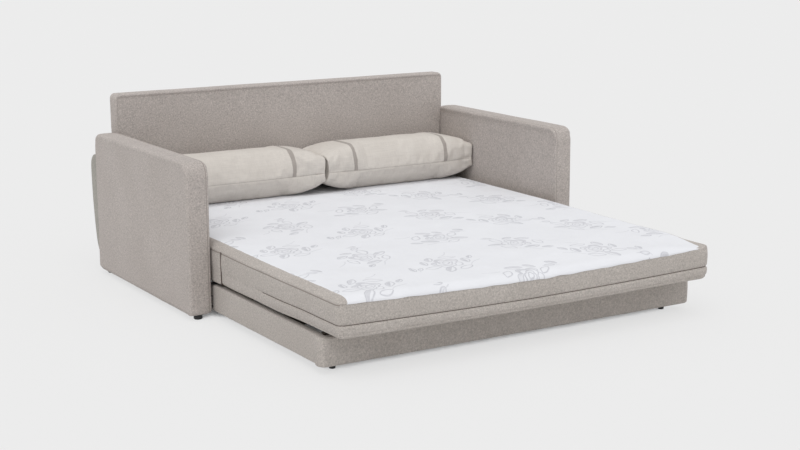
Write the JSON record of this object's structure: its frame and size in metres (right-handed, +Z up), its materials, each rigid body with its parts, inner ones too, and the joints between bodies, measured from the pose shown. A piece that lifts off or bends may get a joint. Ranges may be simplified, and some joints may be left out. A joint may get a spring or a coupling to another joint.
{
  "type": "sofa bed",
  "caption": "Slim-armed sofa opened into a bed: slatted base pulled out in front, folding mattress laid flat, bolster cushions along the back.",
  "frame": {"origin": "on the floor, under the middle of the bounding box of the opened bed", "axes": "+X to the right as seen from the front, +Y from the front of the bed to the back of the sofa, +Z up"},
  "size_m": [1.9, 2.112, 0.805],
  "materials": {
    "upholstery": "taupe chenille weave with light and dark flecks, matt",
    "rear_cloth": "plain darker taupe weave, matt",
    "ticking": "white quilted knit with a pale grey floral jacquard",
    "linen": "oatmeal linen weave with narrow taupe bands",
    "timber": "planed pine, aged",
    "steel": "dark grey powder coat",
    "zinc": "black passivated zinc plate",
    "black_plastic": "black moulded plastic",
    "nylon": "black nylon"
  },
  "bodies": {
    "sofa_frame": {"left_arm_cover": "upholstery", "left_arm_frame": "timber", "left_front_glide": "black_plastic", "left_rear_glide": "black_plastic", "right_arm_cover": "upholstery", "right_arm_frame": "timber", "right_front_glide": "black_plastic", "right_rear_glide": "black_plastic", "back_panel_cover": "upholstery", "back_panel_frame": "timber", "rear_body_cover": "rear_cloth", "rear_body_frame": "timber", "rear_rail": "timber", "front_crossbar": "timber", "left_crossbar_bracket": "steel", "right_crossbar_bracket": "steel", "fixed_slat_1": "timber", "fixed_slat_2": "timber", "fixed_slat_3": "timber", "fixed_slat_4": "timber", "fixed_slat_5": "timber", "fixed_slat_6": "timber", "fixed_slat_7": "timber", "left_channel": "steel", "right_channel": "steel", "rear_mattress": "upholstery", "rear_ticking": "ticking"},
    "bed_base": {"base_front": "upholstery", "base_left_side": "upholstery", "base_right_side": "upholstery", "base_front_cleat": "timber", "base_rear_rail": "timber", "base_tie": "timber", "base_left_corner_block": "timber", "base_right_corner_block": "timber", "base_left_foot": "black_plastic", "base_right_foot": "black_plastic", "sliding_slat_1": "timber", "sliding_slat_2": "timber", "sliding_slat_3": "timber", "sliding_slat_4": "timber", "sliding_slat_5": "timber", "sliding_slat_6": "timber", "left_roller_axle": "zinc", "right_roller_axle": "zinc"},
    "left_wheel": {"left_roller": "nylon"},
    "right_wheel": {"right_roller": "nylon"},
    "front_section": {"front_mattress": "upholstery", "front_ticking": "ticking"},
    "left_cushion": {"left_bolster": "linen"},
    "right_cushion": {"right_bolster": "linen"}
  },
  "joints": [
    {"name": "base_slide", "type": "slide", "parent": "sofa_frame", "child": "bed_base", "axis": [0, 1, 0], "range_m": [0, 0.8397]},
    {"name": "left_roller_turn", "type": "hinge", "parent": "bed_base", "child": "left_wheel", "pos_m": [-0.8574, 0.012, 0.0703], "axis": [-1, 0, 0], "range_deg": [0, 2680]},
    {"name": "right_roller_turn", "type": "hinge", "parent": "bed_base", "child": "right_wheel", "pos_m": [0.8574, 0.012, 0.0703], "axis": [-1, 0, 0], "range_deg": [0, 2680]},
    {"name": "mattress_fold", "type": "hinge", "parent": "sofa_frame", "child": "front_section", "pos_m": [0, -0.086, 0.3161], "axis": [-1, 0, 0], "range_deg": [0, 180]},
    {"name": "left_bolster_lift", "type": "slide", "parent": "sofa_frame", "child": "left_cushion", "axis": [0, 0, 1], "range_m": [0, 0.8]},
    {"name": "right_bolster_lift", "type": "slide", "parent": "sofa_frame", "child": "right_cushion", "axis": [0, 0, 1], "range_m": [0, 0.8]}
  ],
  "couplings": [
    {"joint": "left_roller_turn", "follows": "base_slide", "rad_per_m": 55.556},
    {"joint": "right_roller_turn", "follows": "base_slide", "rad_per_m": 55.556},
    {"joint": "left_bolster_lift", "follows": "mattress_fold", "m_per_rad": 0.2546},
    {"joint": "right_bolster_lift", "follows": "mattress_fold", "m_per_rad": 0.2546}
  ]
}
